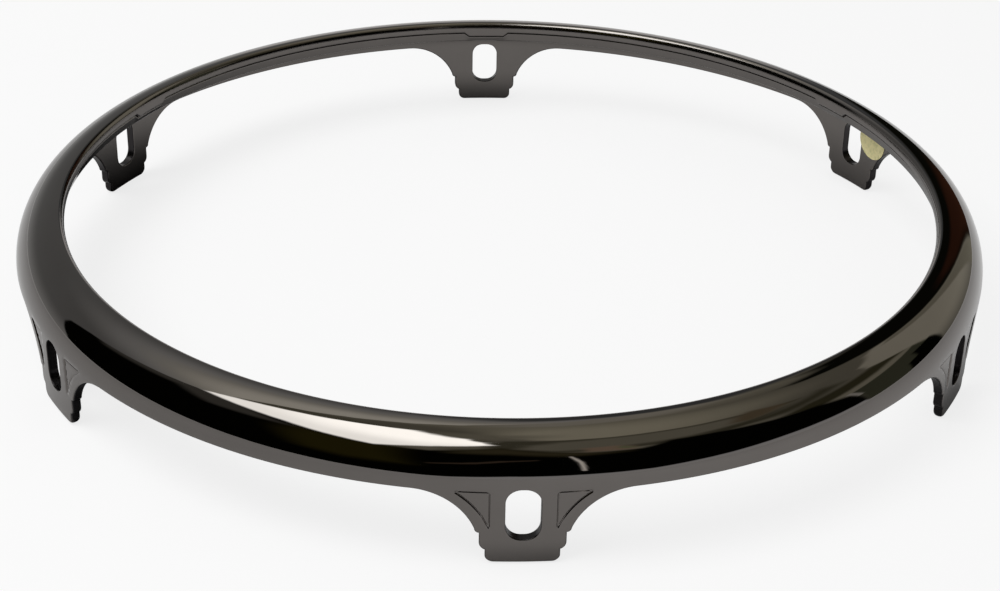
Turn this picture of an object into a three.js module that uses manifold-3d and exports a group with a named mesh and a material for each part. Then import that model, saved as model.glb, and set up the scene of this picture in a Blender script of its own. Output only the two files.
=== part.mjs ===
// Steel drum hoop: a rolled ring with a rounded crest and six slotted ears
//
// Millimetres, +Z up. The origin is the ring's centre, on the plane of the ears' feet.
// Ear 1 faces -Y, and the ears are numbered anticlockwise seen from above.

import * as THREE from 'three';
import { mergeVertices } from 'three/addons/utils/BufferGeometryUtils.js';
import Module from 'manifold-3d';

const wasm = await Module();
wasm.setup();

// Ring
const openingRadius = 152.7;
const ringWidth = 17.2;
const plateThickness = 3.3;
const crestRise = 15.7;
const lipDepth = 4.1;
const lipRounding = 1.9;
const edgeRounding = 0.8;

// Bearing ring under the lip
const bearingSetBack = 0.6;
const bearingWidth = 5.2;
const bearingDepth = 4.3;
const bearingSlant = 1.7;
const bearingRounding = 0.8;

// Ears
const earCount = 6;
const slotWidth = 10.5;
const slotHeight = 17.3;
const slotCornerRadius = 4.7;
const slotTopRise = 1.1;
const footBelowSlot = 8.4;
const footWall = 5.85;
const footRounding = 1.6;
const footStep = 1.75;
const shoulderStep = 1.4;
const shoulderRise = 3.4;
const flareAboveSlotBottom = 3.5;
const flareRadius = 20;
const headRise = 9;

// Recessed panels beside each slot
const panelWall = 4.65;
const panelWidth = 10.1;
const panelHeight = 12.8;
const panelTopDrop = 0.9;
const panelMargin = 4.2;
const panelDepth = 0.5;

// Backing straps
const strapWidth = 18.2;
const strapThickness = 1.3;
const strapTaper = 2;
const strapLap = 2.6;

// Weld beads
const beadWidth = 4;
const beadHeight = 1.2;
const beadInset = 1.5;

// Label on the inner face of ear 3
const labelEar = 3;
const labelRadius = 7.8;
const labelThickness = 0.3;
const labelOffset = 12.2;
const labelDrop = 1.4;

// Clearance between neighbouring pieces, and how far a cutting prism runs past what it cuts
const clearance = 0.3;
const overrun = 10;

// Smoothness of the round stretches
const ringSegments = 96;
const crestSteps = 10;
const undersideSteps = 8;
const cornerSteps = 3;
const flareSteps = 7;
const slotCornerSteps = 4;
const panelArcSteps = 4;
const labelArcSteps = 20;

// Places that follow from the sizes
const outerRadius = openingRadius + ringWidth;
const skirtInnerRadius = outerRadius - plateThickness;
const crestRadius = openingRadius + lipRounding;
const skirtHeight = footBelowSlot + slotHeight - slotTopRise;
const slotBottom = footBelowSlot;
const slotTop = slotBottom + slotHeight;
const crest = { across: ringWidth - lipRounding, up: crestRise };
const underside = { across: skirtInnerRadius - crestRadius, up: crestRise - lipDepth };
const footHalf = slotWidth / 2 + footWall;
const stepHalf = footHalf + footStep;
const shoulderHalf = stepHalf + shoulderStep;
const flareStart = slotBottom + flareAboveSlotBottom;
const shoulderBottom = flareStart - shoulderStep;
const footTop = shoulderBottom - shoulderRise - footStep;
const flareDrop = skirtHeight - flareStart;
const flareHalf = shoulderHalf + Math.sqrt(flareRadius ** 2 - (flareRadius - flareDrop) ** 2);
const headTop = skirtHeight + headRise;

// Materials
const blackNickel = { color: 0x4a4742, roughness: 0.12, metalness: 1 };
const platedWeld = { color: 0x45423d, roughness: 0.35, metalness: 1 };
const labelPaper = { color: 0xb3ac62, roughness: 0.7, metalness: 0 };

// Solids
function solidOf(geometry) {
  const bare = geometry.clone();
  bare.deleteAttribute('normal');
  bare.deleteAttribute('uv');
  const merged = mergeVertices(bare);
  return new wasm.Manifold(new wasm.Mesh({
    numProp: 3,
    vertProperties: new Float32Array(merged.attributes.position.array),
    triVerts: new Uint32Array(merged.index.array),
  }));
}

function geometryOf(solid) {
  const mesh = solid.getMesh();
  const geometry = new THREE.BufferGeometry();
  geometry.setAttribute('position', new THREE.BufferAttribute(mesh.vertProperties, mesh.numProp));
  geometry.setIndex(new THREE.BufferAttribute(mesh.triVerts, 1));
  geometry.computeVertexNormals();
  return geometry;
}

// A closed outline of [radius, height] points, turned about +Z
function turned(outline) {
  const points = outline.map(([radius, height]) => new THREE.Vector2(radius, height));
  points.push(points[0].clone());
  const geometry = new THREE.LatheGeometry(points, ringSegments);
  geometry.rotateX(Math.PI / 2);
  return solidOf(geometry);
}

// A closed outline of [side, height] points, run from the axis outwards through ear number `ear`
function prismThrough(outline, ear = 1) {
  const shape = new THREE.Shape(outline.map(([side, height]) => new THREE.Vector2(side, height)));
  const reach = outerRadius + overrun;
  const geometry = new THREE.ExtrudeGeometry(shape, { depth: reach, bevelEnabled: false });
  geometry.rotateX(Math.PI / 2);
  geometry.rotateZ(earTurn(ear));
  return solidOf(geometry);
}

function earTurn(ear) {
  return (ear - 1) * (2 * Math.PI / earCount);
}

// Outlines
function arc([centreAcross, centreUp], radiusAcross, radiusUp, from, to, steps) {
  const points = [];
  for (let step = 0; step <= steps; step += 1) {
    const angle = from + (to - from) * (step / steps);
    points.push([centreAcross + radiusAcross * Math.cos(angle), centreUp + radiusUp * Math.sin(angle)]);
  }
  return points;
}

// The arc of the given radius from one point to another, bulging to the left of the way there
function arcBetween(start, end, radius, steps) {
  const chord = [end[0] - start[0], end[1] - start[1]];
  const length = Math.hypot(...chord);
  const toCentre = Math.sqrt(Math.max(radius ** 2 - (length / 2) ** 2, 0));
  const centre = [
    (start[0] + end[0]) / 2 + toCentre * chord[1] / length,
    (start[1] + end[1]) / 2 - toCentre * chord[0] / length,
  ];
  const reach = Math.hypot(start[0] - centre[0], start[1] - centre[1]);
  const from = Math.atan2(start[1] - centre[1], start[0] - centre[0]);
  let to = Math.atan2(end[1] - centre[1], end[0] - centre[0]);
  if (to > from) {
    to -= 2 * Math.PI;
  }
  return arc(centre, reach, reach, from, to, steps);
}

function mirrored(outline) {
  return outline.map(([side, height]) => [-side, height]).reverse();
}

const quarter = Math.PI / 2;

// The outside of the crest, from the skirt to the top, without the point on the skirt itself
function crestCurve() {
  return arc([crestRadius, skirtHeight], crest.across, crest.up, 0, quarter, crestSteps).slice(1);
}

// The underside of the crest, set back from the metal, from the lip down to the skirt
function undersideCurve(setBack, from = quarter, to = 0) {
  const across = underside.across - setBack;
  const up = underside.up - setBack;
  return arc([crestRadius, skirtHeight], across, up, from, to, undersideSteps);
}

function undersideAngle(rise) {
  return Math.asin(Math.min(rise / underside.up, 1));
}

// Lip and crest, with everything that lies above the skirt
function crownOutline() {
  const lipBottom = skirtHeight + underside.up;
  const roundingCentre = [crestRadius, skirtHeight + crestRise - lipRounding];
  return [
    ...crestCurve(),
    ...arc(roundingCentre, lipRounding, lipRounding, quarter, Math.PI, cornerSteps).slice(1),
    [openingRadius, lipBottom + edgeRounding],
    [openingRadius + edgeRounding, lipBottom],
    ...undersideCurve(0),
  ];
}

// Ring: the crown with the skirt's own rounded lower edge
function ringOutline() {
  return [
    [outerRadius - edgeRounding, skirtHeight],
    [outerRadius, skirtHeight + edgeRounding],
    ...crownOutline().slice(0, -1),
    [skirtInnerRadius, skirtHeight + edgeRounding],
    [skirtInnerRadius + edgeRounding, skirtHeight],
  ];
}

// Ear stock: the crown's section carried down to the feet
function earStockOutline() {
  return [
    [outerRadius, -overrun],
    [outerRadius, skirtHeight],
    ...crownOutline(),
    [skirtInnerRadius, -overrun],
  ];
}

// One side of an ear, from the middle of the foot to the end of the head
function earSide() {
  const rounding = Math.min(footRounding, footTop / 2);
  const flareCentre = [flareHalf, skirtHeight - flareRadius];
  const flareFrom = Math.PI - Math.asin((flareRadius - flareDrop) / flareRadius);
  return [
    ...arc([footHalf - rounding, rounding], rounding, rounding, -quarter, 0, cornerSteps),
    ...arc([footHalf, footTop + footStep], footStep, footStep, -quarter, 0, cornerSteps),
    ...arc([stepHalf, flareStart], shoulderStep, shoulderStep, -quarter, 0, cornerSteps),
    ...arc(flareCentre, flareRadius, flareRadius, flareFrom, quarter, flareSteps).slice(1),
    [flareHalf, headTop],
  ];
}

function earOutline() {
  return [...earSide(), ...mirrored(earSide())];
}

function slotOutline() {
  const half = slotWidth / 2;
  const radius = Math.min(slotCornerRadius, half, slotHeight / 2);
  const side = [
    ...arc([half - radius, slotBottom + radius], radius, radius, -quarter, 0, slotCornerSteps),
    ...arc([half - radius, slotTop - radius], radius, radius, 0, quarter, slotCornerSteps),
  ];
  return [...side, ...mirrored(side)];
}

// Panel: square corner beside the slot, curved side along the flare
function panelOutline() {
  const inner = slotWidth / 2 + panelWall;
  const top = slotTop - panelTopDrop;
  const toe = [inner, top - panelHeight];
  const tip = [inner + panelWidth, top];
  return [[inner, top], ...arcBetween(toe, tip, flareRadius + panelMargin, panelArcSteps)];
}

// The gap in the skirt that an ear's head fills
function notchOutline() {
  const half = flareHalf + clearance;
  const top = headTop + clearance;
  return [[-half, -overrun], [half, -overrun], [half, top], [-half, top]];
}

// Pieces
function makeRing() {
  let ring = turned(ringOutline());
  for (let ear = 1; ear <= earCount; ear += 1) {
    ring = ring.subtract(prismThrough(notchOutline(), ear));
  }
  return ring;
}

// What a panel takes off the outside of an ear
function panelCut(outline) {
  const floorRadius = outerRadius - panelDepth;
  const shell = turned([
    [floorRadius, -overrun],
    [outerRadius + overrun, -overrun],
    [outerRadius + overrun, headTop],
    [floorRadius, headTop],
  ]);
  return prismThrough(outline).intersect(shell);
}

function makeEar() {
  const plate = turned(earStockOutline()).intersect(prismThrough(earOutline()));
  return plate
    .subtract(prismThrough(slotOutline()))
    .subtract(panelCut(panelOutline()))
    .subtract(panelCut(mirrored(panelOutline())));
}

// Backing strap: follows the underside of the crest from the lip to the ear's head, larger all round by `grow`
function strapSection(grow) {
  const lap = undersideAngle(headRise - strapLap);
  const innerEnd = openingRadius + clearance - grow;
  const upper = undersideCurve(clearance - grow, lap, quarter);
  const lower = undersideCurve(clearance + strapThickness + grow, quarter, lap);
  return [
    ...upper,
    [innerEnd, upper[undersideSteps][1]],
    [innerEnd, lower[0][1]],
    ...lower,
  ];
}

function makeStrap(ear = 1, grow = 0) {
  const top = skirtHeight + underside.up;
  const tongue = top - clearance - strapThickness;
  const wide = strapWidth / 2 + grow;
  const narrow = wide - strapTaper;
  const outline = [
    [-narrow, skirtHeight], [narrow, skirtHeight], [narrow, tongue],
    [wide, top - clearance], [wide, top], [-wide, top],
    [-wide, top - clearance], [-narrow, tongue],
  ];
  return turned(strapSection(grow)).intersect(prismThrough(outline, ear));
}

// Bearing ring: a bar under the lip with a leaning inner face, notched where the straps pass over it
function bearingOutline() {
  const top = skirtHeight + underside.up - clearance;
  const bottom = top - bearingDepth;
  const inner = openingRadius + bearingSetBack;
  const toe = inner + bearingSlant;
  const outer = inner + bearingWidth;
  const topFrom = Math.acos((outer - crestRadius) / (underside.across - clearance));
  return [
    [inner, top],
    [toe, bottom + bearingRounding],
    [toe + bearingRounding, bottom],
    [outer - bearingRounding, bottom],
    [outer, bottom + bearingRounding],
    ...undersideCurve(clearance, topFrom, quarter),
  ];
}

function makeBearingRing() {
  let bar = turned(bearingOutline());
  for (let ear = 1; ear <= earCount; ear += 1) {
    bar = bar.subtract(makeStrap(ear, clearance));
  }
  return bar;
}

// Weld bead: lies on the underside along the joint between ear and ring
function beadSection() {
  const joint = undersideAngle(headRise + clearance / 2);
  const spread = beadWidth / (underside.across + underside.up);
  const back = undersideCurve(clearance, joint - spread, joint + spread);
  const crown = undersideCurve(clearance + beadHeight, joint + spread / 2, joint - spread / 2);
  return [back[0], back[undersideSteps / 2], back[undersideSteps], crown[0], crown[undersideSteps]];
}

function makeBead(side) {
  const near = strapWidth / 2 + clearance;
  const far = flareHalf - beadInset;
  const low = skirtHeight;
  const high = skirtHeight + crestRise;
  const outline = [[near, low], [far, low], [far, high], [near, high]];
  const cut = side > 0 ? outline : mirrored(outline);
  return turned(beadSection()).intersect(prismThrough(cut));
}

// Label: a disc on the inner face of one ear
function makeLabel() {
  const centreHeight = skirtHeight - labelDrop;
  const bottom = centreHeight - labelRadius - overrun;
  const rise = undersideAngle(labelRadius);
  const backing = clearance + labelThickness;
  const shell = turned([
    [skirtInnerRadius - clearance, bottom],
    ...undersideCurve(clearance, 0, rise),
    ...undersideCurve(backing, rise, 0),
    [skirtInnerRadius - backing, bottom],
  ]);
  const disc = arc([-labelOffset, centreHeight], labelRadius, labelRadius, 0, 2 * Math.PI, labelArcSteps);
  return shell.intersect(prismThrough(disc.slice(1), labelEar));
}

// Assembly
const group = new THREE.Group();

function place(name, solid, look, ear = 1) {
  const mesh = new THREE.Mesh(geometryOf(solid), new THREE.MeshStandardMaterial(look));
  mesh.name = name;
  mesh.rotation.z = earTurn(ear);
  group.add(mesh);
}

const earSolid = makeEar();
const strapSolid = makeStrap();
const beadLeft = makeBead(-1);
const beadRight = makeBead(1);

place('rim_ring', makeRing(), blackNickel);
place('bearing_ring', makeBearingRing(), blackNickel);
for (let ear = 1; ear <= earCount; ear += 1) {
  place(`ear_${ear}`, earSolid, blackNickel, ear);
  place(`ear_strap_${ear}`, strapSolid, blackNickel, ear);
  place(`ear_${ear}_weld_left`, beadLeft, platedWeld, ear);
  place(`ear_${ear}_weld_right`, beadRight, platedWeld, ear);
}
place('inspection_label', makeLabel(), labelPaper);

export default group;
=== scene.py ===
# A drum hoop standing on its six ears: rolled rim, bearing ring, slotted ear plates,
# backing straps, weld beads and a round label. Metres, +Z up.

import math
from itertools import pairwise

import bpy
import numpy as np
from mathutils import Matrix, Vector
from mathutils.geometry import delaunay_2d_cdt


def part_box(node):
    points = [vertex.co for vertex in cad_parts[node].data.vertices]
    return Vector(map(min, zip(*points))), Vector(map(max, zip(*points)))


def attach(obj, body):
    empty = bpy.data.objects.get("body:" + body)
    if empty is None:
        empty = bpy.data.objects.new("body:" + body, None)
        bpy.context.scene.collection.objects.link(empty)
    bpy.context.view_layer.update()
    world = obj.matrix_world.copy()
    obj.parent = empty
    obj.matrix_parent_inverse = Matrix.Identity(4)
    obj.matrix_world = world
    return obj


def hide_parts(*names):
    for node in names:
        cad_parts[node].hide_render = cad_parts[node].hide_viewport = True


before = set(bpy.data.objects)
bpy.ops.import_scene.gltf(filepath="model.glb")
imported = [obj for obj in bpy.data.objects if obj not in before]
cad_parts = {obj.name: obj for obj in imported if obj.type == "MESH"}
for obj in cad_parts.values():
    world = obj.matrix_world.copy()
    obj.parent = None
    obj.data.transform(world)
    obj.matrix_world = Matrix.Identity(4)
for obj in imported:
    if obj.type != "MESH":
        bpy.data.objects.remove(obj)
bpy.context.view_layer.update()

MM = 0.001
quarter = math.pi / 2
rim_low, rim_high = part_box("rim_ring")

# Rim, with its outer sizes from the frame
outer_radius = rim_high[0]
skirt_height = rim_low[2]
crest_rise = rim_high[2] - rim_low[2]
opening_radius = 152.7 * MM
plate = 3.3 * MM
edge_rounding = 0.6 * MM
inner_radius = outer_radius - plate

# The lip at the opening, with a wide rounding above and a narrow one below
lip_depth = 4.1 * MM
lip_rounding = 1.9 * MM
lip_top = 2.5 * MM
lip_edge_rounding = 0.8 * MM
lip_edge_rise = 1.1 * MM
crest_radius = opening_radius + lip_rounding
crest_across = outer_radius - crest_radius
under_across = inner_radius - crest_radius
under_rise = crest_rise - lip_depth

# Ears, with places sideways from the ear's middle and up from the skirt's lower edge
ear_count = 6
ear_numbers = range(1, ear_count + 1)
head_rise = 9 * MM
slot_width = 10.5 * MM
slot_top = 1.1 * MM
slot_height = 17.3 * MM
slot_corner = 4.7 * MM
slot_rounding = 0.35 * MM
foot_half = 11.1 * MM
foot_rounding = 2.4 * MM
foot_step = 1.75 * MM
step_turn = math.radians(70)
shoulder_step = 1.4 * MM
shoulder_rise = 3.4 * MM
flare_above_slot_bottom = 3.5 * MM
flare_radius = 20 * MM
slot_bottom = slot_top - slot_height
flare_start = slot_bottom + flare_above_slot_bottom
step_half = foot_half + foot_step
shoulder_half = step_half + shoulder_step
shoulder_bottom = flare_start - shoulder_step
foot_top = shoulder_bottom - shoulder_rise - foot_step
flare_half = shoulder_half + math.sqrt(flare_radius**2 - (flare_radius + flare_start) ** 2)

# Over its lowest stretch an ear's edge is rounded more, by up to this share
foot_swell_share = 1.2
foot_rise = 3 * MM

# Recessed panels beside each slot, with a groove along their outline
panel_beside_slot = 4.65 * MM
panel_below_slot_top = 0.9 * MM
panel_off_flare = 4.2 * MM
panel_width = 10.6 * MM
panel_height = 13.4 * MM
panel_depth = 0.25 * MM
panel_wall = 0.5 * MM
panel_corner = 0.9 * MM
groove_depth = 0.3 * MM
groove_half = 0.2 * MM
panel_inner = slot_width / 2 + panel_beside_slot
panel_top = slot_top - panel_below_slot_top
panel_radius = flare_radius + panel_off_flare

# Bearing ring, with the gap and the seam that keep it off the crest and the lip
gap = 0.3 * MM
seam = 0.1 * MM
bearing_set_back = 0.6 * MM
bearing_width = 5.2 * MM
bearing_depth = 4.3 * MM
bearing_slant = 1.7 * MM
bearing_rounding = 0.8 * MM
bearing_edge = 0.6 * MM
bearing_tip = 0.3 * MM
bearing_inner = opening_radius + bearing_set_back

# Straps, in half-widths: the ends slope from the narrow one below to the wide one above
strap_wide = 9.1 * MM
strap_narrow = 7.1 * MM
strap_thickness = 1.3 * MM
strap_least = 0.04 * MM
strap_skin = 0.02 * MM
strap_lap = 2.6 * MM
strap_tip = 0.1 * MM
strap_tip_share = 0.3
strap_reach = strap_wide + lip_edge_rounding

# Weld beads
bead_width = 4 * MM
bead_height = 1.2 * MM
bead_inset = 1.5 * MM
bead_clearance = 2 * MM
bead_ripple = 1.1 * MM
bead_ripple_share = 0.14
bead_lag = 0.5 * MM
bead_end_share = 0.02

# Label, with its middle sideways from the ear's middle and down from the skirt's lower edge
label_ear = 3
label_radius = 7.8 * MM
label_thickness = 0.2 * MM
label_clearance = 0.01 * MM
label_offset = 12.2 * MM
label_drop = 1.4 * MM
label_shares = np.linspace(0.08, 0.95, 9)

# How finely the shapes are divided
round_steps = 4
corner_steps = 8
slot_steps = 12
flare_steps = 24
head_row_steps = 8
head_column_steps = 40
rim_free_steps = 60
crest_steps = 39
lip_steps = 18
lip_edge_steps = 12
bearing_near_steps = 56
bearing_free_steps = 55
strap_slope_steps = 9
strap_level_steps = 29
strap_arc_steps = 12
strap_round_steps = 3
bead_steps = 89
bead_arc_steps = 12
label_steps = 72
label_round_steps = 6
edge_spacing = 0.8 * MM
face_spacing = 1.7 * MM
groove_spacing = 0.15 * MM
slope_step = 0.01 * MM

# Points nearer than this are one, and in the ear's triangles so are those nearer in millimetres
same_place = 0.0001 * MM
merge_millimetres = 1e-6

# A corner's mitre is at most 1 over this share
least_mitre_share = 0.7


# Lines and outlines

def divided(low, high, steps):
    """Evenly spaced values, both ends included."""
    return np.linspace(low, high, steps + 1)


def smooth(value, low, high):
    """A soft step from 0 at the low value to 1 at the high one."""
    share = np.clip((value - low) / (high - low), 0, 1)
    return share**2 * (3 - 2 * share)


def arc(centre, across, up, start, end, steps):
    """Points of an arc of an ellipse, both ends included."""
    angles = divided(start, end, steps)
    return np.stack([centre[0] + across * np.cos(angles), centre[1] + up * np.sin(angles)], axis=1)


def spaced(points, spacing):
    """The same line with its long stretches divided."""
    out = [points[0]]
    for a, b in pairwise(points):
        parts = max(1, math.ceil(np.linalg.norm(b - a) / spacing))
        out += [a + (b - a) * k / parts for k in range(1, parts + 1)]
    return np.array(out)


def without_repeats(points):
    """The same line without points that lie on the one before."""
    keep = [0]
    for index in range(1, len(points)):
        if np.linalg.norm(points[index] - points[keep[-1]]) > same_place:
            keep.append(index)
    return points[keep]


def unit(vectors):
    return vectors / np.linalg.norm(vectors, axis=1)[:, None]


def side_normals(points, closed):
    """The unit normal to the right of the way along a line, and how much further a corner lies."""
    ahead = np.roll(points, -1, axis=0) - points
    back = points - np.roll(points, 1, axis=0)
    if not closed:
        ahead[-1] = back[-1]
        back[0] = ahead[0]
    ahead = unit(ahead)
    middle = unit(ahead + unit(back))
    stretch = 1 / np.clip(np.sum(middle * ahead, axis=1), least_mitre_share, 1)
    return np.stack([middle[:, 1], -middle[:, 0]], axis=1), stretch


def inside(points, loop):
    """Which points lie inside a closed loop."""
    x, y = points[:, 0], points[:, 1]
    found = np.zeros(len(points), bool)
    for (ax, ay), (bx, by) in zip(loop, np.roll(loop, -1, axis=0)):
        crosses = (ay > y) != (by > y)
        reach = ax + (y - ay) * (bx - ax) / np.where(by == ay, 1, by - ay)
        found ^= crosses & (x < reach)
    return found


# The bent plate: `side` runs across an ear, `along` up the skirt and over the crest, `depth` inwards

crest_length = crest_rise * quarter


def layer(along, share):
    """The turn over the crest and a layer's two half-axes. Share 0 is the plate's outside, 1 its inside."""
    turn = np.clip(along, 0, crest_length) / crest_length * quarter
    across = crest_across + (under_across - crest_across) * share
    up = crest_rise + (under_rise - crest_rise) * share
    return turn, across, up


def section_point(along, share):
    """Radius and height of a place on the plate."""
    turn, across, up = layer(along, share)
    return crest_radius + across * np.cos(turn), up * np.sin(turn) + np.minimum(along, 0)


def section_normal(along, share):
    """The outward normal there, as (radial, up)."""
    turn, across, up = layer(along, share)
    radial = np.cos(turn) / across
    rise = np.sin(turn) / up
    size = np.hypot(radial, rise)
    return radial / size, rise / size


def in_space(radius, height, angle):
    """A point in the frame, with angle 0 at the middle of ear 1."""
    radius, height, angle = np.broadcast_arrays(radius, height, angle)
    return np.stack([radius * np.sin(angle), -radius * np.cos(angle), skirt_height + height], axis=-1)


def direction(radial, rise, angle):
    """A direction in the frame, from its radial and upward parts."""
    radial, rise, angle = np.broadcast_arrays(radial, rise, angle)
    return np.stack([radial * np.sin(angle), -radial * np.cos(angle), rise], axis=-1)


def plate_point(side, along, depth):
    radius, height = section_point(along, depth / plate)
    return in_space(radius, height, np.arcsin(side / outer_radius))


def plate_normal(side, along, depth):
    radial, rise = section_normal(along, depth / plate)
    return direction(radial, rise, np.arcsin(side / outer_radius))


def edge_normal(side, along, flat):
    """A direction that lies in the plate, from its two parts across and along."""
    angle = np.arcsin(side / outer_radius)
    radial, rise = section_normal(along, 0)
    across = np.stack([np.cos(angle), np.sin(angle), np.zeros_like(angle)], axis=-1)
    up = direction(-rise, radial, angle)
    return across * flat[:, :1] + up * flat[:, 1:]


def rounded_depths(rounding=edge_rounding):
    """Each row of a rounded edge, from outside to inside: how far in from the edge it lies, how
    deep, and how much its normal leans along the plate and out of it."""
    outside = [
        (rounding * (1 - math.sin(turn)), rounding * (1 - math.cos(turn)), math.sin(turn), math.cos(turn))
        for turn in divided(0, quarter, round_steps)
    ]
    return outside + [(inset, plate - depth, lean, -facing) for inset, depth, lean, facing in outside[::-1]]


# Meshes

class Shape:
    """Points with their normals, and faces. A face marked flat has a normal of its own."""

    def __init__(self):
        self.points, self.normals, self.faces, self.flat = [], [], [], []
        self.finish, self.finishes = 0, []

    def add(self, points, normals=()):
        """Adds points, and their normals if they have their own, and gives the points' numbers."""
        start = len(self.points)
        self.points += [tuple(point) for point in points]
        self.normals += [tuple(normal) for normal in normals]
        return list(range(start, start + len(points)))

    def face(self, numbers, flat=False):
        self.faces.append(tuple(numbers))
        self.flat.append(flat)
        self.finishes.append(self.finish)

    def strip(self, one, other, closed=False):
        """Quads between two rows of equal length, the first row on the left of the way along."""
        count = len(one)
        for k in range(count if closed else count - 1):
            after = (k + 1) % count
            self.face((one[k], other[k], other[after], one[after]))

    def build(self, name, turn=0.0):
        """A mesh object of the shape, turned about the hoop's axis."""
        mesh = bpy.data.meshes.new(name)
        mesh.from_pydata(self.points, [], self.faces)
        mesh.update()
        mesh.shade_smooth()
        mesh.polygons.foreach_set("material_index", self.finishes)
        if self.normals:
            normals = unit(np.array(self.normals))
            loops = []
            for polygon, flat in zip(mesh.polygons, self.flat):
                own = polygon.normal[:]
                loops += [own if flat else tuple(normals[v]) for v in polygon.vertices]
            mesh.normals_split_custom_set(loops)
        if turn:
            mesh.transform(Matrix.Rotation(turn, 4, "Z"))
        piece = bpy.data.objects.new(name, mesh)
        bpy.context.scene.collection.objects.link(piece)
        return piece


def ear_turn(number):
    return (number - 1) * 2 * math.pi / ear_count


def finish_piece(piece, node, slot, *materials):
    """Gives a piece its materials, hides the frame's part that it stands for and attaches it to the root. The
    slot is not used.
    """
    for material in materials:
        piece.data.materials.append(material)
    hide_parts(node)
    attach(piece, "root")


# Rim. At each ear its lower rows leave a window, which the ear's head fills

head_along = math.asin(head_rise / crest_rise) / quarter * crest_length
head_angle = math.asin(flare_half / outer_radius)
head_rows = divided(edge_rounding, head_along, head_row_steps)
head_columns = divided(-head_angle, head_angle, head_column_steps)


def rim_section():
    """The rim's closed section: radius, height, normal and whether an ear's head takes its place."""
    rows = []

    def skin(alongs, share, low):
        facing = 1 - 2 * share
        for along in alongs:
            radial, rise = section_normal(along, share)
            rows.append((*section_point(along, share), facing * radial, facing * rise, low))

    def rounding(centre, size, turns):
        for turn in turns:
            arrow = np.array([math.cos(turn), math.sin(turn)])
            normal = arrow / size
            rows.append((*(centre + arrow * size), *(normal / np.linalg.norm(normal)), False))

    upper = divided(head_along, crest_length, crest_steps)[1:]
    skin(head_rows, 0, True)
    skin(upper, 0, False)
    rounding((crest_radius, crest_rise - lip_top), (lip_rounding, lip_top),
             divided(quarter, 2 * quarter, lip_steps)[1:])
    rounding((opening_radius + lip_edge_rounding, under_rise + lip_edge_rise),
             (lip_edge_rounding, lip_edge_rise), divided(2 * quarter, 3 * quarter, lip_edge_steps))
    skin(upper[::-1], 1, False)
    skin(head_rows[::-1], 1, True)
    for inset, depth, lean, facing in rounded_depths()[-2:0:-1]:
        rows.append((outer_radius - depth, inset, facing, -lean, True))
    return rows


def make_rim(material):
    rows = rim_section()
    low = [row[-1] for row in rows]
    free = divided(head_angle, 2 * math.pi / ear_count - head_angle, rim_free_steps)
    stretch = np.concatenate([head_columns[:-1], free[:-1]])
    columns = np.concatenate([ear_turn(number) + stretch for number in ear_numbers])
    windows = ([True] * head_column_steps + [False] * rim_free_steps) * ear_count
    count = len(columns)
    shape = Shape()
    grid = [shape.add(in_space(radius, height, columns), direction(radial, rise, columns))
            for radius, height, radial, rise, _ in rows]
    for i in range(len(rows)):
        j = (i + 1) % len(rows)
        for k in range(count):
            if windows[k] and low[i] and low[j]:
                continue
            after = (k + 1) % count
            shape.face((grid[i][k], grid[i][after], grid[j][after], grid[j][k]))

    # The flat faces round each window: its top and its two sides
    outer_top = len(head_rows) - 1
    inner_top = len(rows) - 2 * round_steps - len(head_rows)
    outer, inner = grid[outer_top], grid[inner_top]
    low_rows = list(range(inner_top, len(rows))) + list(range(outer_top + 1))
    for k in range(count):
        after = (k + 1) % count
        if windows[k]:
            shape.face((outer[k], inner[k], inner[after], outer[after]), flat=True)
        if windows[k] and not windows[k - 1]:
            shape.face([grid[i][k] for i in low_rows[::-1]], flat=True)
        if not windows[k] and windows[k - 1]:
            shape.face([grid[i][k] for i in low_rows], flat=True)
    finish_piece(shape.build("rim"), "rim_ring", "black_nickel", material)


# Ears

def ear_edge():
    """An ear's free edge from the skirt on its left, round the foot, to the skirt on its right."""
    step_top = foot_top + foot_step
    step_rounding = foot_step / (1 - math.cos(step_turn))
    flare_from = math.pi - math.asin((flare_radius + flare_start) / flare_radius)
    foot_centre = (foot_half - foot_rounding, foot_rounding - skirt_height)
    step_centre = (step_half - step_rounding, step_top)
    right = np.concatenate([
        [[0, -skirt_height]],
        arc(foot_centre, foot_rounding, foot_rounding, -quarter, 0, corner_steps),
        arc(step_centre, step_rounding, step_rounding, -step_turn, 0, corner_steps),
        arc((step_half, flare_start), shoulder_step, shoulder_step, -quarter, 0, corner_steps),
        arc((flare_half, -flare_radius), flare_radius, flare_radius, flare_from, quarter, flare_steps),
    ])
    left = right[::-1] * (-1, 1)
    return spaced(without_repeats(np.concatenate([left, right])), edge_spacing)


def slot_edge():
    """The slot's outline, clockwise, so that the metal lies on its left."""
    across = slot_width / 2 - slot_corner
    right = np.concatenate([
        arc((across, slot_bottom + slot_corner), slot_corner, slot_corner, -quarter, 0, slot_steps),
        arc((across, slot_top - slot_corner), slot_corner, slot_corner, 0, quarter, slot_steps),
    ])
    loop = np.concatenate([right, right[::-1] * (-1, 1)])
    return spaced(without_repeats(loop), edge_spacing)[::-1]


def head_edges():
    """The right side, the top and the left side of an ear's head, where it meets the rim."""
    sides = outer_radius * np.sin(head_columns)
    right = np.stack([np.full(head_row_steps, flare_half), head_rows[1:]], axis=1)
    top = np.stack([sides[::-1][1:], np.full(head_column_steps, head_along)], axis=1)
    left = np.stack([np.full(head_row_steps - 1, -flare_half), head_rows[::-1][1:-1]], axis=1)
    return right, top, left


def rounded_meet(one, other):
    """Distance outside both of two walls, with a rounded corner where they meet."""
    apart = np.hypot(np.maximum(one + panel_corner, 0), np.maximum(other + panel_corner, 0))
    return np.minimum(np.maximum(one, other), -panel_corner) + apart


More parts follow.
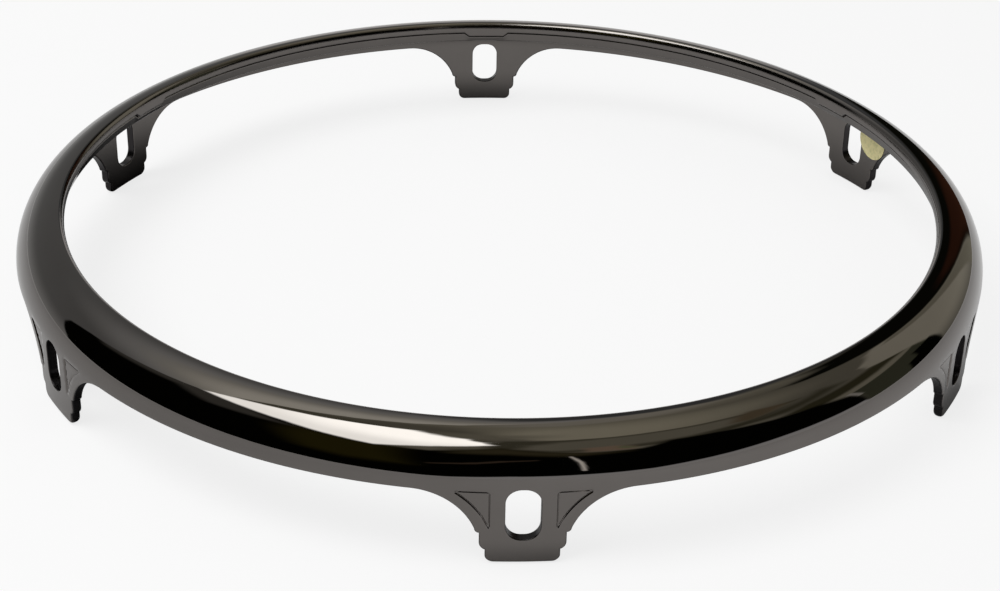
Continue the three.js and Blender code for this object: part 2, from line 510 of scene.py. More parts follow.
def panel_distance(side, along):
    """How far a place lies outside the nearest panel, below zero inside it."""
    side = np.abs(side)
    length = math.hypot(panel_width, panel_height)
    reach = math.sqrt(panel_radius**2 - (length / 2) ** 2) / length
    centre_side = panel_inner + panel_width / 2 + reach * panel_height
    centre_along = panel_top - panel_height / 2 - reach * panel_width
    curved = panel_radius - np.hypot(side - centre_side, along - centre_along)
    return rounded_meet(rounded_meet(panel_inner - side, along - panel_top), curved)


def panel_sink(side, along):
    """How deep the ear's face lies: sunk in the panels, with a groove along their outline."""
    distance = panel_distance(side, along)
    recess = panel_depth * smooth(-distance, -panel_wall / 2, panel_wall / 2)
    return recess + groove_depth * np.exp(-(distance / groove_half) ** 2)


def ear_face_points(outline, slot):
    """Places inside an ear's face: a loose grid, and a fine one along the panels' grooves."""
    low, high = outline.min(axis=0), outline.max(axis=0)
    border = np.concatenate([outline, slot])
    found = []
    for spacing, fine in ((face_spacing, False), (groove_spacing, True)):
        columns, rows = (np.arange(low[axis], high[axis], spacing) for axis in (0, 1))
        across, up = np.meshgrid(columns, rows)
        across[::2] += spacing / 2
        grid = np.stack([across.ravel(), up.ravel()], axis=1)
        groove = np.abs(panel_distance(*grid.T)) < 2 * groove_half
        grid = grid[groove == fine]
        grid = grid[inside(grid, outline) & ~inside(grid, slot)]
        near = np.min(np.linalg.norm(grid[:, None] - border[None], axis=2), axis=1)
        found.append(grid[near > spacing / 2])
    return np.concatenate(found)


def face_triangles(places, ring, hole):
    """Triangles over a face whose places are first its outline's, then its hole's, then those inside."""
    limits = [(k, (k + 1) % ring) for k in range(ring)]
    limits += [(ring + k, ring + (k + 1) % hole) for k in range(hole)]
    scaled = [Vector(place / MM) for place in places]
    found, _, triangles, sources, _, _ = delaunay_2d_cdt(scaled, limits, [], 0, merge_millimetres)
    if len(found) != len(places):
        raise ValueError("The ear's face has places that lie on each other")
    source = [origin[0] for origin in sources]
    triangles = np.array([[source[v] for v in triangle] for triangle in triangles])
    middles = places[triangles].mean(axis=1)
    return triangles[inside(middles, places[:ring]) & ~inside(middles, places[ring:ring + hole])]


def add_faces(shape, places, triangles):
    """Adds an ear's outer face, with its panels, and its plain inner one, and gives their points."""
    side, along = places.T
    slopes = [
        (panel_sink(side + across, along + up) - panel_sink(side - across, along - up)) / (2 * slope_step)
        for across, up in ((slope_step, 0), (0, slope_step))
    ]
    lean = edge_normal(side, along, np.stack(slopes, axis=1))
    outer = shape.add(plate_point(side, along, panel_sink(side, along)), plate_normal(side, along, 0) + lean)
    inner = shape.add(plate_point(side, along, plate), -plate_normal(side, along, plate))
    for a, b, c in triangles:
        shape.face((outer[a], outer[b], outer[c]))
        shape.face((inner[a], inner[c], inner[b]))
    return outer, inner


def add_rounded_edge(shape, outer, inner, line, flat, stretch, rounding, closed):
    """Adds a rounded edge between two faces, its middle in the second finish, and gives its rows."""
    rows = [outer]
    for inset, depth, lean, facing in rounded_depths(rounding)[1:-1]:
        place = line - flat * (inset * stretch)[:, None]
        normal = facing * plate_normal(*place.T, depth) + lean * edge_normal(*place.T, flat)
        rows.append(shape.add(plate_point(*place.T, depth), normal))
    rows.append(inner)
    for number, (one, other) in enumerate(pairwise(rows)):
        shape.finish = 1 if 2 <= number <= 2 * round_steps - 2 else 0
        shape.strip(one, other, closed)
    shape.finish = 0
    return rows


def make_ear_shape():
    """One ear: outer and inner face, rounded edges and the flat faces that meet the rim."""
    edge, slot = ear_edge(), slot_edge()
    slot_flat, slot_stretch = side_normals(slot, closed=True)
    edge_flat, edge_stretch = side_normals(edge, closed=False)
    # Both ends of the edge run on into the skirt's edge
    edge_flat[[0, -1]] = (0, -1)
    edge_stretch[[0, -1]] = 1
    swell = foot_swell_share * smooth(-edge[:, 1], skirt_height - foot_rise, skirt_height)
    edge_round = edge_rounding * (1 + swell)
    edge_face = edge - edge_flat * (edge_round * edge_stretch)[:, None]
    slot_face = slot - slot_flat * (slot_rounding * slot_stretch)[:, None]
    right, top, left = head_edges()
    outline = np.concatenate([edge_face, right, top, left])
    places = np.concatenate([outline, slot_face, ear_face_points(outline, slot_face)])
    start, ring = len(edge), len(outline)
    hole = slice(ring, ring + len(slot))

    shape = Shape()
    outer, inner = add_faces(shape, places, face_triangles(places, ring, len(slot)))
    rows = add_rounded_edge(shape, outer[:start], inner[:start], edge, edge_flat, edge_stretch, edge_round,
                            closed=False)
    add_rounded_edge(shape, outer[hole], inner[hole], slot, slot_flat, slot_stretch, slot_rounding,
                     closed=True)

    right_end = start + len(right)
    top_end = right_end + len(top)
    shape.face([row[-1] for row in rows] + inner[start:right_end] + outer[start:right_end][::-1], flat=True)
    shape.face([row[0] for row in rows[::-1]] + outer[top_end - 1:ring][::-1] + inner[top_end - 1:ring],
               flat=True)
    for a, b in pairwise(range(right_end - 1, top_end)):
        shape.face((outer[b], outer[a], inner[a], inner[b]), flat=True)
    return shape


def make_ears(*materials):
    shape = make_ear_shape()
    for number in ear_numbers:
        ear = shape.build(f"ear_plate_{number}", ear_turn(number))
        finish_piece(ear, f"ear_{number}", "black_nickel", *materials)


# Sections with rounded corners, and lofts between them

def rounded_polygon(corners, steps=round_steps):
    """Points and normals round a closed outline of (radius, height, rounding) corners, anticlockwise."""
    places = np.array([corner[:2] for corner in corners])
    points, normals = [], []
    for k, (_, _, rounding) in enumerate(corners):
        here = places[k]
        back = here - places[k - 1]
        ahead = places[(k + 1) % len(corners)] - here
        back, ahead = back / np.linalg.norm(back), ahead / np.linalg.norm(ahead)
        turn = math.atan2(back[0] * ahead[1] - back[1] * ahead[0], back @ ahead)
        first = np.array([back[1], -back[0]])
        centre = here - back * rounding * math.tan(turn / 2) - first * rounding
        for share in divided(0, 1, steps) if rounding else [0.5]:
            angle = turn * share
            normal = np.array([
                first[0] * math.cos(angle) - first[1] * math.sin(angle),
                first[0] * math.sin(angle) + first[1] * math.cos(angle),
            ])
            points.append(centre + normal * rounding)
            normals.append(normal)
    return np.array(points), np.array(normals)


def loft(shape, sections, angles, closed):
    """Joins sections of (points, normals) that stand at the given angles round the axis."""
    rows = [shape.add(in_space(*points.T, angle), direction(*normals.T, angle))
            for (points, normals), angle in zip(sections, angles)]
    for one, other in zip(rows, rows[1:] + (rows[:1] if closed else [])):
        shape.strip(one, other, closed=True)
    if not closed:
        shape.face(rows[0], flat=True)
        shape.face(rows[-1][::-1], flat=True)


# Bearing ring and straps

def strap_drop(side):
    """How far below the underside of the lip a strap's lower skin lies, below zero past its end."""
    share = (np.abs(side) - strap_narrow) / (strap_wide - strap_narrow)
    return (gap + strap_thickness) * (1 - np.maximum(share, 0))


def make_bearing_ring(material):
    """The bar under the lip. Its top dips under each strap and slopes with the crest's underside."""
    near = np.arcsin(divided(-strap_reach, strap_reach, bearing_near_steps) / opening_radius)
    free = divided(near[-1], 2 * math.pi / ear_count + near[0], bearing_free_steps)[1:-1]
    stretch = np.concatenate([near, free])
    top = under_rise - seam
    bottom = top - bearing_depth
    outer = bearing_inner + bearing_width
    outer_top = (under_rise - gap) * math.sqrt(1 - ((outer - crest_radius) / (under_across - gap)) ** 2)
    sections = [
        rounded_polygon([
            (bearing_inner, top - drop, bearing_edge),
            (bearing_inner + bearing_slant, bottom, bearing_rounding),
            (outer, bottom, bearing_rounding),
            (outer, outer_top - drop, bearing_tip),
            (crest_radius, top - drop, 0),
        ])
        for drop in np.maximum(strap_drop(opening_radius * np.sin(stretch)), 0)
    ]
    angles = np.concatenate([ear_turn(number) + stretch for number in ear_numbers])
    shape = Shape()
    loft(shape, sections * ear_count, angles, closed=True)
    finish_piece(shape.build("bearing_bar"), "bearing_ring", "black_nickel", material)


def strap_section(side):
    """A strap's section: flush with the lip in front, then along the underside of the crest."""
    drop = strap_drop(side)
    thick = max(drop, strap_least)
    lap = math.asin((head_rise - strap_lap) / under_rise)
    lower = arc((crest_radius, 0), under_across - thick, under_rise - thick, quarter, lap, strap_arc_steps)
    upper = arc((crest_radius, 0), under_across - strap_skin, under_rise - strap_skin, lap, quarter,
                strap_arc_steps)
    corner = (opening_radius + lip_edge_rounding, under_rise + lip_edge_rise - drop)
    front = arc(corner, lip_edge_rounding, lip_edge_rise, 2 * quarter, 3 * quarter, corner_steps)
    tip = min(strap_tip, strap_tip_share * (thick - strap_skin))
    corners = [
        (opening_radius, under_rise + lip_edge_rise + tip, tip),
        *[(*place, 0) for place in front],
        *[(*place, 0) for place in lower[:-1]],
        (*lower[-1], tip),
        (*upper[0], tip),
        *[(*place, 0) for place in upper[1:]],
    ]
    return rounded_polygon(corners, strap_round_steps)


def make_straps(material):
    sides = np.concatenate([
        divided(-strap_reach, -strap_narrow, strap_slope_steps),
        divided(-strap_narrow, strap_narrow, strap_level_steps)[1:-1],
        divided(strap_narrow, strap_reach, strap_slope_steps),
    ])
    shape = Shape()
    loft(shape, [strap_section(side) for side in sides], np.arcsin(sides / opening_radius), closed=False)
    for number in ear_numbers:
        strap = shape.build(f"strap_{number}", ear_turn(number))
        finish_piece(strap, f"ear_strap_{number}", "black_nickel", material)


# Weld beads and label

def make_beads(material):
    """Weld beads: a row of overlapping ripples along the joint of ear and rim."""
    near = strap_narrow + gap + bead_clearance
    far = flare_half - bead_inset
    around = divided(0, math.pi, bead_arc_steps)
    for hand, mirror in (("left", -1), ("right", 1)):
        shape = Shape()
        rows = []
        for side in divided(near, far, bead_steps):
            swell = math.sqrt(min(1, max(bead_end_share, min(side - near, far - side) / (bead_width / 2))))
            wave = abs(math.sin(math.pi * (side - near) / bead_ripple))
            ripple = 1 - bead_ripple_share + bead_ripple_share * wave
            lagging = np.clip(side - bead_lag * np.sin(around), near, far)
            along = head_along + bead_width / 2 * swell * np.cos(around)
            depth = plate + bead_height * swell * ripple * np.sin(around)
            rows.append(shape.add(plate_point(mirror * lagging, along, depth)))
        order = rows[::mirror]
        for one, other in pairwise(order):
            shape.strip(one, other, closed=True)
        shape.face(order[0])
        shape.face(order[-1][::-1])
        for number in ear_numbers:
            bead = shape.build(f"weld_bead_{number}_{hand}", ear_turn(number))
            finish_piece(bead, f"ear_{number}_weld_{hand}", "plated_weld", material)


def make_label(material):
    """A round label on the inner face of one ear: its face, its rounded rim and its back."""
    rounding = label_thickness / 2
    turns = divided(0, 2 * math.pi, label_steps)[:-1]
    rings = [(label_radius * share, label_thickness) for share in label_shares]
    rings += [
        (label_radius - rounding + rounding * math.cos(angle), rounding * (1 + math.sin(angle)))
        for angle in divided(quarter, -quarter, label_round_steps)
    ]
    rings += [(label_radius * share, 0) for share in label_shares[::-1]]
    shape = Shape()
    rows = []
    for reach, rise in rings:
        side = -label_offset + reach * np.cos(turns)
        along = -label_drop + reach * np.sin(turns)
        rows.append(shape.add(plate_point(side, along, plate + label_clearance + rise)))
    for one, other in pairwise(rows):
        shape.strip(other, one, closed=True)
    shape.face(rows[0][::-1])
    shape.face(rows[-1])
    label = shape.build("paper_label", ear_turn(label_ear))
    finish_piece(label, "inspection_label", "label_paper", material)


# Materials

def new_material(name):
    """A material, its node tree and the shader in it."""
    material = bpy.data.materials.new(name)
    material.use_nodes = True
    tree = material.node_tree
    return material, tree, tree.nodes["Principled BSDF"]


def new_node(tree, kind, inputs=None, **settings):
    """A new node. Each of its inputs gets a value or a link."""
    made = tree.nodes.new(kind)
    for key, value in settings.items():
        setattr(made, key, value)
    for key, value in (inputs or {}).items():
        if isinstance(value, bpy.types.NodeSocket):
            tree.links.new(value, made.inputs[key])
        else:
            made.inputs[key].default_value = value
    return made


def combined(tree, operation, one, other):
    return new_node(tree, "ShaderNodeMath", {0: one, 1: other}, operation=operation).outputs[0]


def mapped(tree, value, span, result, **settings):
    """A value carried over from one span to another, and held at its ends."""
    ends = {"From Min": span[0], "From Max": span[1], "To Min": result[0], "To Max": result[1]}
    inputs = {"Value": value, **ends}
    return new_node(tree, "ShaderNodeMapRange", inputs, **settings).outputs["Result"]


def between(tree, share, one, other):
    """A colour between two others."""
    inputs = {"Factor": share, "A": one, "B": other}
    return new_node(tree, "ShaderNodeMix", inputs, data_type="RGBA").outputs["Result"]


def noise(tree, place, scale, detail, roughness=0.5):
    inputs = {"Vector": place, "Scale": scale, "Detail": detail, "Roughness": roughness}
    return new_node(tree, "ShaderNodeTexNoise", inputs).outputs["Fac"]


def bump(tree, height, distance, strength=1.0, below=None):
    """A normal that follows a height, on top of another normal if there is one."""
    inputs = {"Height": height, "Strength": strength, "Distance": distance}
    if below is not None:
        inputs["Normal"] = below
    return new_node(tree, "ShaderNodeBump", inputs).outputs["Normal"]


# The plating, with its patterns in waves to the metre and the radii where its duller part ends
cloud_scale = 38.0
cloud_span = (0.35, 0.7)
wave_scale = 160.0
speck_scale = 2100.0
speck_share = 0.02
satin_span = (opening_radius + 0.4 * MM, crest_radius + 0.9 * MM)

# The label's paper
blot_scale = 650.0
blot_span = (0.36, 0.56)
fleck_scale = 3200.0
paper_green = (0.52, 0.50, 0.17, 1)
paper_cream = (0.86, 0.76, 0.36, 1)
paper_pulp = (0.80, 0.74, 0.44, 1)
paper_roughness = (0.6, 0.8)
paper_grain = 0.05 * MM


def plating(name, dark, light, clear, rough, peel, satin=0.0):
    """Black nickel: a dark mirror with faint clouds, specks and orange peel, duller at the opening."""
    material, tree, shader = new_material(name)
    place = new_node(tree, "ShaderNodeTexCoord").outputs["Object"]
    clouds = noise(tree, place, cloud_scale, detail=4.0, roughness=0.6)
    haze = mapped(tree, clouds, cloud_span, (clear, rough))
    flat = new_node(tree, "ShaderNodeVectorMath", {0: place, 1: (1, 1, 0)}, operation="MULTIPLY").outputs[0]
    reach = new_node(tree, "ShaderNodeVectorMath", {0: flat}, operation="LENGTH").outputs["Value"]
    worn = mapped(tree, reach, satin_span, (satin, 0.0), interpolation_type="SMOOTHSTEP")
    lift = bump(tree, noise(tree, place, wave_scale, detail=1.0), peel)
    grain = bump(tree, noise(tree, place, speck_scale, detail=2.0), peel * speck_share, below=lift)
    tree.links.new(between(tree, clouds, (*dark, 1), (*light, 1)), shader.inputs["Base Color"])
    tree.links.new(combined(tree, "ADD", haze, worn), shader.inputs["Roughness"])
    tree.links.new(grain, shader.inputs["Normal"])
    shader.inputs["Metallic"].default_value = 1.0
    return material


def label_paper():
    """Matt yellow-green paper: pulp flecks, a soft grain and slight unevenness of the print."""
    material, tree, shader = new_material("label_paper")
    place = new_node(tree, "ShaderNodeTexCoord").outputs["Object"]
    blots = noise(tree, place, blot_scale, detail=4.0)
    flecks = noise(tree, place, fleck_scale, detail=3.0)
    patches = mapped(tree, blots, blot_span, (0, 1))
    print_tone = between(tree, patches, paper_green, paper_cream)
    tree.links.new(between(tree, flecks, print_tone, paper_pulp), shader.inputs["Base Color"])
    tree.links.new(mapped(tree, blots, (0, 1), paper_roughness), shader.inputs["Roughness"])
    tree.links.new(bump(tree, flecks, paper_grain, strength=0.6), shader.inputs["Normal"])
    return material


# Camera: the photograph's view, 1000 by 591 pixels, with angles in radians

image_width = 1000
lens_in_pixels = 2027.7
sensor_width = 36
camera_distance = 728.9 * MM
camera_elevation = math.radians(27.137)
camera_extra_pitch = math.radians(2.051)
camera_yaw = 0.0006
camera_roll = 0.01993
hoop_turn = 0.04917
clip_near = 0.01
clip_far = 100


def make_camera():
    data = bpy.data.cameras.new("camera")
    data.sensor_width = sensor_width
    data.lens = sensor_width * lens_in_pixels / image_width
    data.clip_start = clip_near
    data.clip_end = clip_far
    camera = bpy.data.objects.new("camera", data)
    bpy.context.scene.collection.objects.link(camera)
    back = camera_distance * math.cos(camera_elevation)
    up = camera_distance * math.sin(camera_elevation) + skirt_height
    down = camera_elevation + camera_extra_pitch
    camera.matrix_world = (
        Matrix.Rotation(-hoop_turn, 4, "Z")
        @ Matrix.Translation((0, -back, up))
        @ Matrix.Rotation(-camera_yaw, 4, "Z")
        @ Matrix.Rotation(quarter - down, 4, "X")
        @ Matrix.Rotation(camera_roll, 4, "Z")
    )
    bpy.context.scene.camera = camera


# Floor: plain white with a faint shadow to the camera, and with painted shade and painted shadows in mirrors

floor_radius = 30.0
floor_sides = 128
floor_drop = 0.1 * MM
floor_colour = (0.84, 0.84, 0.84, 1)

# How much of the floor is even white to the camera, near the hoop and far from it
plain_span = (0.5, 2.0)
plain_share = (0.78, 1.0)

# The same of the floor in mirrors
mirror_plain_span = (0.4, 2.0)
mirror_plain_share = (0.0, 0.75)

# Its painted shade in mirrors, darker to the left and further left, and its painted shadows where it meets
# the hoop
hoop_span = (-outer_radius, outer_radius)
side_shade_tones = (0.72, 0.95)
far_left_span = (-0.85, -0.25)
far_left_shade_tones = (0.72, 1.0)
shadow_reach_outside = 14 * MM
shadow_tones_outside = (0.95, 0.42)
shadow_reach_inside = 36 * MM
shadow_span_inside = (-0.12, -0.04)
shadow_tones_inside = (0.12, 0.52)


def mirrored_painted_shade(tree, place, reach):
    """The floor's painted shade in mirrors, with `reach` the distance from the hoop's middle: darker to the
    left, and painted shadows along the hoop, darkest outside on the right and inside on the left.
    """
    sideways = new_node(tree, "ShaderNodeSeparateXYZ", {0: place}).outputs["X"]
    across = mapped(tree, sideways, hoop_span, side_shade_tones)
    away = mapped(tree, sideways, far_left_span, far_left_shade_tones)
    outer_shadow_tone = mapped(tree, sideways, hoop_span, shadow_tones_outside)
    inner_shadow_tone = mapped(tree, sideways, shadow_span_inside, shadow_tones_inside)
    apart = combined(tree, "SUBTRACT", reach, outer_radius - plate / 2)
    outside = mapped(tree, apart, (plate / 2, shadow_reach_outside), (outer_shadow_tone, 1.0),
                     interpolation_type="SMOOTHSTEP")
    within = mapped(tree, apart, (-plate / 2, -shadow_reach_inside), (inner_shadow_tone, 1.0),
                    interpolation_type="SMOOTHSTEP")
    beyond = combined(tree, "GREATER_THAN", apart, 0.0)
    painted_shadow = new_node(tree, "ShaderNodeMix", {"Factor": beyond, "A": within, "B": outside}).outputs["Result"]
    return combined(tree, "MULTIPLY", combined(tree, "MULTIPLY", across, away), painted_shadow)


def make_floor():
    """A matt floor that is partly an even white, so that its shadows stay faint."""
    bpy.ops.mesh.primitive_circle_add(
        vertices=floor_sides, radius=floor_radius, fill_type="NGON", location=(0, 0, -floor_drop))
    floor = bpy.context.object
    floor.name = "floor"
    material, tree, shader = new_material("floor")
    place = new_node(tree, "ShaderNodeTexCoord").outputs["Object"]
    reach = new_node(tree, "ShaderNodeVectorMath", {0: place}, operation="LENGTH").outputs["Value"]
    path = new_node(tree, "ShaderNodeLightPath").outputs
    # In mirrors the floor shows the painted shade and painted shadows instead of its plain colour
    colour = between(tree, path["Is Glossy Ray"], floor_colour, mirrored_painted_shade(tree, place, reach))
    tree.links.new(colour, shader.inputs["Base Color"])
    shader.inputs["Roughness"].default_value = 1.0
    shader.inputs["Specular IOR Level"].default_value = 0.0
    seen = combined(tree, "MAXIMUM", path["Is Camera Ray"], path["Is Transmission Ray"])
    plain = combined(tree, "MULTIPLY", seen, mapped(tree, reach, plain_span, plain_share))
    mirrored = mapped(tree, reach, mirror_plain_span, mirror_plain_share)
    mirrored = combined(tree, "MULTIPLY", mirrored, path["Is Glossy Ray"])
    share = combined(tree, "MAXIMUM", plain, mirrored)
    white = new_node(tree, "ShaderNodeEmission", {"Color": (1, 1, 1, 1)}).outputs[0]
    mix = new_node(tree, "ShaderNodeMixShader", {0: share, 1: shader.outputs[0], 2: white})
    tree.links.new(mix.outputs[0], tree.nodes["Material Output"].inputs["Surface"])
    floor.data.materials.append(material)


# Studio: what stands round the hoop, which only the metal sees

room_radius = 20.0
room_step_degrees = 0.5
room_lowest_degrees = -10


def panel_share(azimuth, elevation, corners, softness):
    """How far a direction belongs to a panel of the studio, 1 inside it and 0 outside, with a soft rim."""
    corners = np.array(corners, float)
    middle = corners[:, 0].mean()
    azimuth = (azimuth - middle + 180) % 360 - 180 + middle
    places = np.stack([azimuth, elevation], axis=1)
    squeeze = np.cos(np.radians(np.clip(elevation, -80, 80)))
    nearest = np.full(len(places), np.inf)
    for a, b in zip(corners, np.roll(corners, -1, axis=0)):
        share = np.clip(((places - a) @ (b - a)) / ((b - a) @ (b - a)), 0, 1)
        apart = places - (a + share[:, None] * (b - a))
        nearest = np.minimum(nearest, np.hypot(apart[:, 0] * squeeze, apart[:, 1]))
    signed = np.where(inside(places, corners), nearest, -nearest)
    return smooth(signed, -softness / 2, softness / 2)


def warm(brightness, tint):
    """A grey that leans to yellow: the tint is blue as a share of red, and green follows it."""
    return np.stack([brightness, brightness * min(1, 0.875 + tint / 10), brightness * tint], axis=-1)


def studio(azimuth, elevation):
    """The light that comes from each direction, in shares of white. Degrees, azimuth 0 behind the
    hoop and growing to the right. Each panel covers the ones before it: corners, softness, light."""
    # Overhead, brighter high on the right and darker high on the left
    right = smooth(azimuth, -20, 25) * (1 - smooth(azimuth, 130, 165))
    high = smooth(elevation, 54, 76) * (1 - smooth(elevation, 80, 89))
    shade = (1 - right) * smooth(elevation, 64, 70) * (1 - smooth(elevation, 78, 86))
    glow = warm(0.40 - 0.13 * shade + 0.05 * right + 0.30 * right * high, 0.74)
    black = (0.003, 0.003, 0.002)

    def lay(corners, softness, light):
        nonlocal glow
        share = panel_share(azimuth, elevation, corners, softness)[:, None]
        glow = glow * (1 - share) + np.array(light) * share

    # Upper right: a dim wall, a dark board with a lighter middle, and brown things below it
    lay([(22, 41), (28, 56), (60, 54), (84, 56), (112, 56), (112, 30), (70, 36)], 14, warm(0.27, 0.75))
    lay([(84, 50), (92, 61), (108, 70), (128, 76), (150, 79), (176, 80), (186, 74), (186, 58), (150, 50),
         (120, 44)], 3, warm(0.15, 0.65))
    lay([(90, 50), (97, 60), (111, 68), (129, 73), (150, 74), (168, 70), (176, 62), (165, 56), (140, 54),
         (120, 50)], 6, warm(0.36, 0.74))
    lay([(84, 59), (98, 58), (110, 53), (108, 49), (96, 50), (86, 52)], 4, (0.24, 0.19, 0.12))
    lay([(78, 48), (92, 47), (108, 47), (122, 50), (118, 44), (104, 40), (80, 42)], 6, warm(0.11, 0.6))
    lay([(66, 26), (76, 30), (104, 28), (110, 36), (100, 39), (74, 38)], 4, warm(0.08, 0.5))

    # The dark side of the room, behind the camera, with the few things that show in it
    lay([(96, -6), (97, 20), (103, 31), (112, 37), (122, 46), (133, 51), (145, 45), (158, 48), (170, 56),
         (181, 64), (193, 58), (202, 52), (215, 51), (230, 52), (260, 58), (284, 54), (289, 42), (299, 28),
         (299, 5), (296, -6)], 4, black)
    lay([(150, 43), (165, 44), (180, 51), (195, 50), (195, 58), (181, 64), (170, 56), (158, 49)], 8,
        (0.10, 0.085, 0.045))
    lay([(146, 46), (158, 50), (156, 58), (146, 57), (144, 52)], 3, (0.50, 0.37, 0.27))
    lay([(144.5, 48), (147.5, 49), (148, 54), (145, 54)], 2, (0.32, 0.36, 0.20))
    lay([(-162, 25), (-172, 29), (-180, 35), (-187, 37), (-187, 38.5), (-178, 37), (-170, 31), (-162, 26.5)],
        2, (0.12, 0.085, 0.06))
    lay([(-158, 20), (-145, 17), (-134, 20), (-122, 40), (-118, 52), (-150, 51)], 12, (0.055, 0.046, 0.01))
    lay([(-118, 50), (-100, 40), (-84, 44), (-78, 38), (-70, 30), (-67, 32), (-72, 42), (-79, 54),
         (-95, 54)], 6, warm(0.13, 0.85))

    # A thin lamp, which makes the short streak over the front ear
    lay([(163.9, 12), (163.2, 30), (163.9, 43), (164.6, 43), (164.2, 30), (164.6, 12)], 0.7, warm(1.9, 0.9))

    # The window, which makes the long highlight, a lit patch to its right, and the window's dim edge
    window = 0.75 + 0.25 * smooth(elevation, 58, 75)
    lay([(-143, 50.5), (-130, 52.5), (-110, 55), (-95, 54), (-79, 51.5), (-73, 59), (-64, 69), (-52, 77.5),
         (-50, 79.5), (-75, 82.5), (-110, 83.3), (-150, 82.3), (-170, 76), (-175.5, 70.5), (-168, 67.5),
         (-158, 63), (-150, 57)], 3, window[:, None] * np.array([6.7, 6.85, 6.75]))
    lay([(2, 62), (12, 62), (20, 55), (17, 43), (12, 38), (4, 46)], 5, warm(0.62, 0.82))
    lay([(-74, 56), (-64, 60), (-45, 64), (-41, 73), (-52, 78), (-63, 70)], 4, warm(0.22, 0.68))

    # A pale sheet on the left and behind, with a grey band and a bright stripe at its right end
    sheet = (0.265 + 0.27 * (1 - smooth(elevation, -4, 16)) + 0.45 * smooth(elevation, 30, 55)
             + 0.55 * smooth(elevation, 49, 62))
    yellow = smooth(elevation, 42, 54)
    sheet_tint = np.stack([np.ones(len(yellow)), 1.01 - 0.03 * yellow, 1 - 0.12 * yellow], axis=1)
    lay([(-73, -8), (-70, 2), (-67.5, 7), (-65, 13), (-63.8, 20), (-65.5, 28), (-72.5, 40), (-80, 51.5),
         (-74, 57.5), (-64, 62), (-45, 66.5), (-28, 67), (-12, 65), (-2, 61), (8, 50), (14, 36), (18, 20),
         (20, -8)], 1.0, sheet[:, None] * sheet_tint)
    lay([(2, -8), (1, 16), (-2, 30), (4, 44), (16, 42), (18, 20), (18, -8)], 5, (0.13, 0.135, 0.14))
    lay([(-9, -8), (-9, 11), (-6, 14), (2, 17), (6, 18), (12, 17), (14, 12), (14, -8)], 5, warm(0.85, 0.95))

    # Right: a dark gap, a reddish edge, a lit wall with a dimmer end, then dark things and a thin light
    lay([(17, -8), (17, 22), (15, 30), (19, 39), (26, 43), (33, 50), (37, 50), (40, 40), (40, -8)], 3,
        (0.009, 0.009, 0.006))
    lay([(28, -6), (25, 20), (29, 29), (34, 29), (38, 22), (38.5, -6)], 5, (0.06, 0.022, 0.012))
    lay([(40, -6), (40.5, 42), (47, 44), (66, 43.5), (73, 39), (70.5, 24), (69.5, -6)], 1.6,
        warm(0.22 + 0.44 * smooth(elevation, -6, 16), 0.79))
    lay([(40, -6), (40.5, 40), (45.5, 41), (46.5, 20), (46, -6)], 1.6, warm(0.38, 0.74))
    lay([(70.5, -6), (71, 25), (97, 23), (97, -6)], 1.6, (0.10, 0.105, 0.07))
    lay([(69.5, -6), (69.5, 17), (77, 18), (78, 11), (82, 10), (83, -6)], 1.6, black)
    lay([(96.2, 14), (96.2, 24), (97.8, 24), (97.8, 14)], 1, warm(0.7, 0.9))

    # The far end of the picture's white floor, behind the camera
    lay([(-158, -10), (-158, -2.5), (-180, 4.5), (-195, 4), (-210, 2), (-240, 4), (-262, 2.5), (-268, -10)],
        1.5, (0.82, 0.83, 0.85))
    return glow


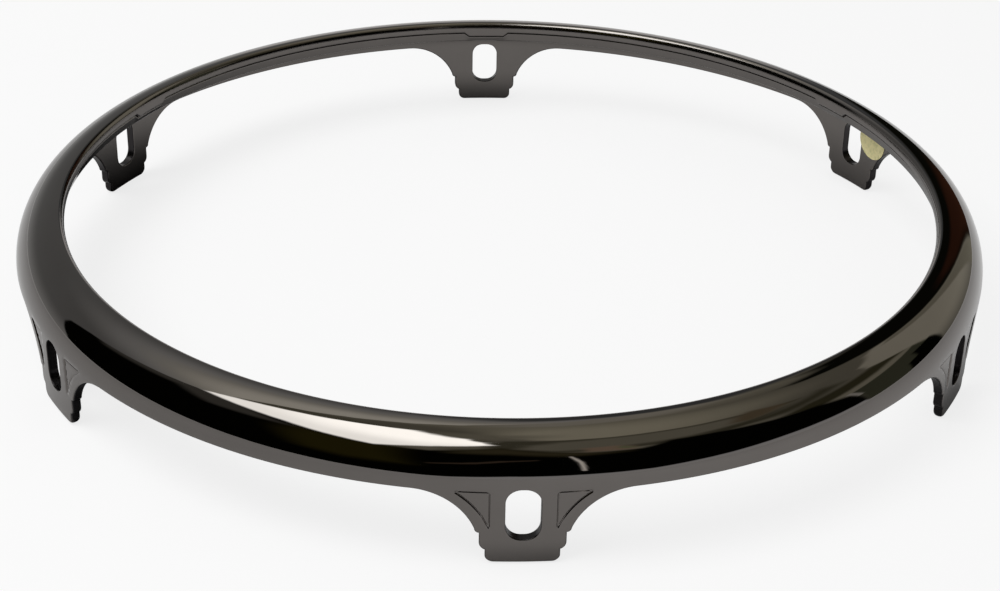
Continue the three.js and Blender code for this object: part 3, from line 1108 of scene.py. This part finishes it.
def make_room():
    """A dome whose points carry the studio's light, seen in the metal's reflections alone."""
    azimuths = np.arange(-180, 180, room_step_degrees)
    elevations = np.arange(room_lowest_degrees, 90, room_step_degrees)
    azimuth, elevation = np.meshgrid(azimuths, elevations)
    azimuth, elevation = np.append(azimuth.ravel(), 0), np.append(elevation.ravel(), 90)
    across, up = np.radians(azimuth), np.radians(elevation)
    ways = np.stack([np.sin(across) * np.cos(up), np.cos(across) * np.cos(up), np.sin(up)], axis=1)
    rings = np.arange(len(azimuths) * len(elevations)).reshape(len(elevations), len(azimuths))
    after = np.roll(rings, -1, axis=1)
    faces = np.stack([rings[:-1], after[:-1], after[1:], rings[1:]], axis=-1).reshape(-1, 4).tolist()
    faces += [(here, ahead, len(ways) - 1) for here, ahead in zip(rings[-1].tolist(), after[-1].tolist())]
    mesh = bpy.data.meshes.new("room")
    mesh.from_pydata((room_radius * ways).tolist(), [], faces)
    colours = np.column_stack([studio(azimuth, elevation), np.ones(len(ways))])
    mesh.attributes.new("light", "FLOAT_COLOR", "POINT").data.foreach_set("color", colours.ravel())
    room = bpy.data.objects.new("room", mesh)
    bpy.context.scene.collection.objects.link(room)
    for way in ("camera", "diffuse", "transmission", "shadow"):
        setattr(room, f"visible_{way}", False)
    material, tree, shader = new_material("room")
    tree.nodes.remove(shader)
    light = new_node(tree, "ShaderNodeAttribute", attribute_name="light").outputs["Color"]
    glow = new_node(tree, "ShaderNodeEmission", {"Color": light})
    tree.links.new(glow.outputs[0], tree.nodes["Material Output"].inputs["Surface"])
    mesh.materials.append(material)


diffuse_white = 0.45
seen_white = 1.0


def make_world():
    """White where camera, mirrors and glass see it, and a plain soft light elsewhere."""
    world = bpy.data.worlds.new("world")
    bpy.context.scene.world = world
    world.use_nodes = True
    tree = world.node_tree
    background = tree.nodes["Background"]
    background.inputs["Color"].default_value = (1, 1, 1, 1)
    path = new_node(tree, "ShaderNodeLightPath").outputs
    seen = combined(tree, "MAXIMUM", path["Is Camera Ray"], path["Is Glossy Ray"])
    seen = combined(tree, "MAXIMUM", seen, path["Is Transmission Ray"])
    tree.links.new(mapped(tree, seen, (0, 1), (diffuse_white, seen_white)), background.inputs["Strength"])


def make_lamp(name, place, size, power):
    """A square soft lamp that shines on the hoop and isn't mirrored."""
    data = bpy.data.lights.new(name, "AREA")
    data.size = size
    data.energy = power
    lamp = bpy.data.objects.new(name, data)
    lamp.location = place
    lamp.rotation_euler = (-Vector(place)).to_track_quat("-Z", "Y").to_euler()
    lamp.visible_glossy = False
    bpy.context.scene.collection.objects.link(lamp)


bpy.context.scene.view_settings.view_transform = "Standard"

nickel = plating(
    "black_nickel", dark=(0.135, 0.124, 0.116), light=(0.16, 0.148, 0.14), clear=0.02, rough=0.04,
    peel=0.01 * MM, satin=0.13)
# The middle of the ears' rounded edges and the slot walls: a duller nickel, its near-black colour painted
# shade
edge_nickel_painted_shade = plating(
    "plated_edge_painted_shade", dark=(0.022, 0.020, 0.021), light=(0.05, 0.047, 0.048), clear=0.28, rough=0.42,
    peel=0.06 * MM)
weld_nickel = plating(
    "plated_weld", dark=(0.10, 0.095, 0.09), light=(0.17, 0.16, 0.15), clear=0.22, rough=0.42,
    peel=0.12 * MM)

make_camera()
make_rim(nickel)
make_bearing_ring(nickel)
make_ears(nickel, edge_nickel_painted_shade)
make_straps(nickel)
make_beads(weld_nickel)
make_label(label_paper())
make_floor()
make_room()
make_world()
make_lamp("key", (-0.75, -0.3, 1.5), size=1.2, power=18)
